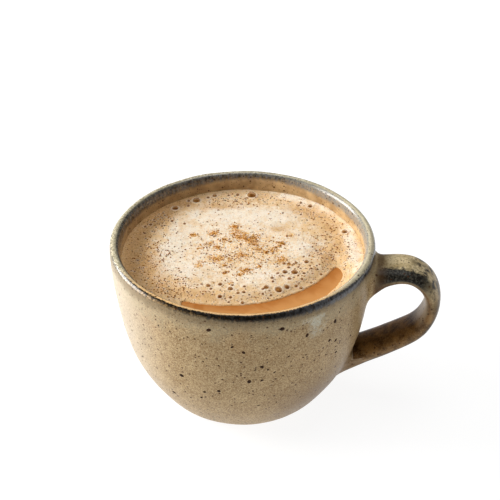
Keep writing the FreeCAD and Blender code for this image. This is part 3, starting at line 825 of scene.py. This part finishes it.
# Single grains all over: right, back, size across, size back, how many.
STRAY_GRAINS = [
    (0, 0, 38, 38, 330), (-32, 2, 8, 22, 290), (-24, -20, 9, 8, 130),
    (32, 8, 8, 18, 200), (0, 2, 20, 15, 230), (-6, 36, 22, 5, 150),
]
SPRINKLE_SIZES = (0.2, 0.26, 0.3, 0.36, 0.44, 0.6)
STRAY_SIZES = (0.26, 0.32, 0.4, 0.5, 0.62)
GRAINS_REACH = 43.5
# Large bubbles: right, back, diameter.
LARGE_BUBBLES = [
    (3.5, 41, 3.4), (-18, 37.5, 2.9), (-26, 32, 2.5), (-11, 40.8, 1.8), (-2, 41.3, 1.5),
    (-5.5, 41, 1.2), (-13.5, 39.5, 1.3), (-21, 37.5, 1.2), (-21, 33.8, 1.3), (-35, 21, 1.3),
    (-37, 19.5, 1.2), (-27, 23, 1.2), (26, 33, 1.8), (22.5, 35.2, 1.2), (38.5, 15, 2.2),
    (19, -11.5, 2.4), (15.5, -11.3, 2.0), (23.5, -4.8, 1.8), (17, -15.5, 1.6), (13, -21.7, 2.6),
    (8.6, -20.9, 2.0), (16, -20, 2.0), (19.3, -19, 1.4), (7.3, -21.8, 1.2), (-4.3, -21.7, 2.0),
    (-12.3, -19.7, 1.8), (-8, -19, 1.6), (-8, -25.7, 1.7), (25, -9, 1.2), (-3.6, -19.4, 1.1),
    (0.5, -23.6, 1.4), (21.5, -15.2, 1.2), (11.0, -17.4, 1.1), (20.5, -8.0, 1.1),
]
# Crowds of small bubbles: right, back, size across, size back, how many, largest diameter.
BUBBLE_CROWDS = [
    (8, -25, 13, 4, 120, 1.5), (23, -12, 6, 8, 110, 1.5), (-8, -24, 8, 4, 50, 1.2),
    (30, 0, 5, 6, 40, 1.0), (28, 28, 9, 5, 60, 1.0), (-4, 39, 16, 2.2, 50, 1.0),
    (-31, 24, 8, 7, 90, 1.25), (39, 8, 2, 14, 50, 1.0), (12, 37, 8, 2.5, 30, 1.0),
    (-28, -18, 9, 7, 60, 0.9), (-36, 0, 3, 16, 40, 0.9), (0, 0, 34, 34, 90, 0.8),
]
SMALLEST_BUBBLE = 0.42
BUBBLES_REACH = 43.2
DOME_SPLIT = 1.1
LARGEST_DOME = 9.0

# The open tea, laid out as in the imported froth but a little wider: a ring round the cup's axis, a
# flatter shore beside it, and a last circle that rounds off the tips, turned to the drinker's view.
FROTH_RING = RIM_RADIUS - LIP_THICKNESS - 6.7
CRESCENT_WIDTH = 9.5
CRESCENT_BEARING = math.radians(-62.0) - FACING_TURN
SHORE_FLATTENING = 5.8
SHORE_CURVE = FROTH_RING + SHORE_FLATTENING
SHORE_SHIFT = SHORE_FLATTENING + CRESCENT_WIDTH
TIPS_OUT, TIPS_REACH = 24.0, 31.0
CRESCENT_RIGHT, CRESCENT_BACK = math.cos(CRESCENT_BEARING), math.sin(CRESCENT_BEARING)
FROTH_STEP = 0.36
FROTH_REACH = 45.15
SMALLEST_PIT = 0.9


def blob(right, back, patch):
    """How strongly a soft oval patch covers each place, 0 to 1."""
    at_right, at_back, across, deep, turn = patch
    angle = math.radians(turn)
    u = (right - at_right) * math.cos(angle) + (back - at_back) * math.sin(angle)
    v = -(right - at_right) * math.sin(angle) + (back - at_back) * math.cos(angle)
    return np.exp(-((u / across) ** 2 + (v / deep) ** 2))


def covered(right, back, patches):
    return 1 - np.prod([1 - 0.9 * blob(right, back, patch) for patch in patches], axis=0)


def nearer_edge(first, second, blend=2.5):
    """The smaller of two distances, with the corner between them rounded."""
    share = np.clip(0.5 + 0.5 * (second - first) / blend, 0, 1)
    return second * (1 - share) + first * share - blend * share * (1 - share)


def open_tea(right, back):
    """Distance into the crescent of open tea: positive inside it, negative on the froth."""
    inside_ring = FROTH_RING - np.hypot(right, back)
    shore_right, shore_back = SHORE_SHIFT * CRESCENT_RIGHT, SHORE_SHIFT * CRESCENT_BACK
    past_shore = np.hypot(right + shore_right, back + shore_back) - SHORE_CURVE
    tips_right, tips_back = TIPS_OUT * CRESCENT_RIGHT, TIPS_OUT * CRESCENT_BACK
    before_tips = TIPS_REACH - np.hypot(right - tips_right, back - tips_back)
    return nearer_edge(nearer_edge(inside_ring, past_shore), before_tips)


def ripple(points, scale, seed):
    """Smooth noise at each place, about -1 to 1."""
    return np.array([noise.noise(Vector((x * scale, y * scale, seed))) for x, y in points])


def small_bubbles():
    """Bubbles too many to place one by one: crowded by the open tea, fewer towards the wall."""
    draw = random.Random(11)
    found = []
    for at_right, at_back, across, deep, count, largest in BUBBLE_CROWDS:
        for _ in range(count):
            right = draw.gauss(at_right, across * 0.6)
            back = draw.gauss(at_back, deep * 0.6)
            size = SMALLEST_BUBBLE + (largest - SMALLEST_BUBBLE) * draw.random() ** 2
            clear = all(math.hypot(right - r, back - b) > 0.6 * (size + s) for r, b, s in
                        LARGE_BUBBLES + found)
            on_froth = open_tea(right, back) < -0.6 * size and math.hypot(right, back) < BUBBLES_REACH
            if clear and on_froth:
                found.append((right, back, size))
    return found


def froth_surface(points, bubbles):
    """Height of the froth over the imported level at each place, and its patches, for the finish."""
    turned = (points[:, 0] + 1j * points[:, 1]) * np.exp(-1j * FACING_TURN)
    right, back = turned.real, turned.imag
    radius = np.hypot(right, back)
    cream = covered(right, back, WHITE_FOAM)
    tan_and_shade = covered(right, back, TAN_FOAM_AND_SHADE)
    lumps = 0.2 * ripple(points, 0.09, 1.0) + 0.09 * ripple(points, 0.3, 2.0)
    grit = 0.04 * ripple(points, 1.1, 3.0)
    height = 0.4 * cream + lumps + grit - 0.2 * tan_and_shade
    height += 0.5 * np.exp(-((45.0 - radius) / 1.1) ** 2)

    # It thins out towards the open tea and slips under it.
    wander = 0.3 * ripple(points, 0.22, 5.0) + 0.18 * ripple(points, 0.9, 6.0)
    shore = open_tea(right, back) + wander - 0.1
    thin = np.clip((shore + 6.0) / 5.6, 0, 1)
    thin = thin * thin * (3 - 2 * thin)
    height -= thin * (height + FROTH_TOP - TEA_TOP - 0.28)
    sink = np.clip((shore + 0.3) / 0.6, 0, 1)
    height -= sink * 1.1

    pit = np.zeros(len(points))
    rim = np.zeros(len(points))
    for at_right, at_back, size in bubbles:
        away = np.hypot(right - at_right, back - at_back) / (size / 2)
        hollow = np.clip(1 - away**2, 0, 1)
        height -= (0.36 if size >= SMALLEST_PIT else 0.28) * size * hollow * (1 - 0.6 * thin)
        ring = np.exp(-(((away - 1.2) / 0.22) ** 2))
        height += 0.08 * size * ring
        rim = np.maximum(rim, ring)
        pit = np.maximum(pit, np.clip(hollow * 1.6, 0, min(1, 0.35 + 0.4 * size)))
    tan_and_shade = np.maximum(tan_and_shade, 0.9 * np.exp(-((np.minimum(shore, 0) / 0.7) ** 2)))
    bubbly = np.clip(0.45 + 0.6 * np.exp(-((shore + 5) / 7.0) ** 2) + 0.4 * tan_and_shade, 0, 1)
    bubbly = np.clip(bubbly + 0.5 * np.exp(-((radius - 42) / 3.5) ** 2), 0, 1)
    spots = [(r, b, size, size, 0) for r, b, size, _, _ in SPRINKLES]
    dust = 1 - np.prod([1 - 0.85 * blob(right, back, spot) for spot in spots], axis=0)
    dust *= np.clip(0.65 + 0.9 * ripple(points, 0.45, 8.0), 0, 1)
    dust = np.maximum(dust, 0.36 * blob(right, back, (1, 3, 19, 14, 0)))
    return height, {"cream": cream, "tan_and_shade": tan_and_shade, "dust": dust, "bubbly": bubbly, "pit": pit,
                    "rim": rim}


def model_froth(bubbles):
    """A fine sheet cut round, shaped into foam with pits and a shore, and closed underneath."""
    deselect()
    steps = int(2 * (FROTH_REACH + 1) / FROTH_STEP)
    bpy.ops.mesh.primitive_grid_add(
        x_subdivisions=steps, y_subdivisions=steps, size=2 * (FROTH_REACH + 1) * MM,
        location=(0, 0, FROTH_TOP * MM),
    )
    froth = name_piece("milk_froth")
    settle(froth)
    edit(froth)
    pick(froth, "verts", lambda vert: math.hypot(vert.co.x, vert.co.y) > FROTH_REACH * MM)
    bpy.ops.mesh.delete(type="VERT")
    close_edit()
    points = np.empty(len(froth.data.vertices) * 3)
    froth.data.vertices.foreach_get("co", points)
    points = points.reshape(-1, 3) / MM
    height, patches = froth_surface(points[:, :2], bubbles)
    points[:, 2] += height
    froth.data.vertices.foreach_set("co", (points * MM).ravel())
    for name, values in patches.items():
        layer = froth.data.attributes.new(name, "FLOAT", "POINT")
        layer.data.foreach_set("value", values.astype(np.float32))
    edit(froth, "EDGE")
    pick(froth, "edges", lambda edge: edge.is_boundary)
    bpy.ops.mesh.extrude_edges_move(TRANSFORM_OT_translate={"value": (0, 0, -MM)})
    under = (TEA_TOP - 0.9) * MM
    bpy.ops.transform.resize(value=(1, 1, 0), center_override=(0, 0, under))
    bpy.ops.mesh.edge_face_add()
    close_edit()
    outward_normals(froth)
    smooth(froth)
    froth_finish().wear(froth)
    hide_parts("froth")
    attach(froth, "root")
    return froth


def surface_height(froth, x, y):
    """Height of the modelled froth under a place, in millimetres."""
    hit, spot, _, _ = froth.ray_cast(Vector((x * MM, y * MM, 0.1)), Vector((0, 0, -1)))
    return spot.z / MM if hit else FROTH_TOP


def bubble_dome(around, up, height):
    """Half of a small ball, closed underneath."""
    deselect()
    bpy.ops.mesh.primitive_uv_sphere_add(segments=around, ring_count=up, radius=0.5)
    dome = name_piece("bubble_dome")
    edit(dome, "FACE")
    bpy.ops.mesh.select_all(action="SELECT")
    bpy.ops.mesh.bisect(plane_co=(0, 0, 0), plane_no=(0, 0, 1), clear_inner=True, use_fill=True)
    bpy.ops.mesh.select_all(action="SELECT")
    bpy.ops.transform.resize(value=(1, 1, height), center_override=(0, 0, 0))
    close_edit()
    return dome


def model_bubble_films(froth, bubbles):
    """Domes of film over the bubbles, large and small."""
    finish = film_finish()
    for name, dome, low, high in (
        ("large_bubbles", bubble_dome(24, 14, 0.95), DOME_SPLIT, LARGEST_DOME),
        ("small_bubbles", bubble_dome(10, 6, 0.85), 0.0, DOME_SPLIT),
    ):
        places = []
        for right, back, size in bubbles:
            if low <= size < high:
                x, y = seen(right, back)
                reach = size * 0.55
                rim = [surface_height(froth, x + reach * math.cos(a), y + reach * math.sin(a))
                       for a in (0, 1.6, 3.1, 4.7)]
                level = sorted(rim)[1] - 0.1 * size
                shape = Matrix.Diagonal((size * MM, size * MM, size * MM, 1.0))
                places.append(Matrix.Translation(Vector((x, y, level)) * MM) @ shape)
        films = scatter(name, dome, places)
        finish.wear(films)
        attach(films, "root")


def model_spice(froth):
    """Ground spice: thick where it was sprinkled, and single grains all over."""
    draw = random.Random(29)
    grains = []
    for right, back, radius, count, pale in SPRINKLES:
        for _ in range(count):
            spread = (draw.gauss(0, radius * 0.56), draw.gauss(0, radius * 0.5))
            size = draw.choice(SPRINKLE_SIZES)
            tint = min(1.0, max(0.0, draw.gauss(pale * 0.8, 0.36)))
            grains.append((right + spread[0], back + spread[1], size, tint))
    for at_right, at_back, across, deep, count in STRAY_GRAINS:
        for _ in range(count):
            right = draw.gauss(at_right, across * 0.55)
            back = draw.gauss(at_back, deep * 0.55)
            size = draw.choice(STRAY_SIZES)
            grains.append((right, back, size, draw.uniform(0.0, 0.55)))
    places, tints = [], []
    for right, back, size, tint in grains:
        if math.hypot(right, back) > GRAINS_REACH or open_tea(right, back) > -0.5:
            continue
        x, y = seen(right, back)
        level = surface_height(froth, x, y)
        turn = Euler((draw.uniform(-0.4, 0.4), draw.uniform(-0.4, 0.4), draw.uniform(0, 6.3)))
        shape = Matrix.Diagonal((size * draw.uniform(0.7, 1.6) * MM, size * MM, 0.6 * size * MM, 1))
        lift = Matrix.Translation(Vector((x, y, level + 0.1 * size)) * MM)
        places.append(lift @ turn.to_matrix().to_4x4() @ shape)
        tints.append(tint)
    spice = scatter("ground_spice", pebble(1), places, np.array(tints))
    spice_finish().wear(spice)
    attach(spice, "root")


# ---------------------------------------------------------------- the studio


def area_light(name, place, aim, width, height, power, colour):
    data = bpy.data.lights.new(name, "AREA")
    data.shape = "RECTANGLE"
    data.size, data.size_y = width, height
    data.energy = power
    data.color = colour
    lamp = bpy.data.objects.new(name, data)
    lamp.location = place
    lamp.rotation_euler = (Vector(aim) - Vector(place)).to_track_quat("-Z", "Y").to_euler()
    bpy.context.scene.collection.objects.link(lamp)


def studio():
    deselect()
    bpy.ops.mesh.primitive_plane_add(size=6)
    floor = name_piece("studio_floor")
    sheet = Finish("studio_floor", Roughness=0.9, Emission_Strength=0.9)
    sheet.surface.inputs["Base Color"].default_value = (0.18, 0.18, 0.18, 1)
    sheet.surface.inputs["Emission Color"].default_value = (1, 1, 1, 1)
    sheet.wear(floor)
    world = bpy.data.worlds.new("soft_white")
    world.use_nodes = True
    background = world.node_tree.nodes["Background"]
    background.inputs["Color"].default_value = (1, 1, 1, 1)
    background.inputs["Strength"].default_value = 0.16
    bpy.context.scene.world = world
    aim = (0, 0, 0.05)
    area_light("window_left", (-0.62, 0.04, 0.28), aim, 0.5, 0.5, 9.4, (1.0, 0.99, 0.975))
    area_light("top_soft", (0.05, 0.12, 0.8), aim, 0.5, 0.5, 2.2, (1.0, 1.0, 1.0))
    bpy.context.scene.view_settings.view_transform = "Standard"


def camera():
    """The drinker's camera: a long lens, a third of the way up to overhead."""
    distance, elevation, roll = 600.0, math.radians(34.2), math.radians(0.16)
    aim_right, aim_height = 2.76, 60.8
    aim = Vector((*seen(aim_right, 0), aim_height))
    back = Vector((*seen(0, -math.cos(elevation)), math.sin(elevation)))
    data = bpy.data.cameras.new("drinker")
    data.lens, data.sensor_width = 117.1, 36.0
    data.clip_start, data.clip_end = 0.01, 20.0
    eye = bpy.data.objects.new("drinker", data)
    look = (-back).to_track_quat("-Z", "Y").to_matrix().to_4x4()
    place = Matrix.Translation((aim + back * distance) * MM)
    eye.matrix_world = place @ look @ Matrix.Rotation(-roll, 4, "Z")
    bpy.context.scene.collection.objects.link(eye)
    bpy.context.scene.camera = eye


studio()
camera()
cup = model_cup()
model_iron_spots(cup)
bubbles = LARGE_BUBBLES + small_bubbles()
froth = model_froth(bubbles)
model_bubble_films(froth, bubbles)
model_spice(froth)
tea_finish().wear(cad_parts["chai"])
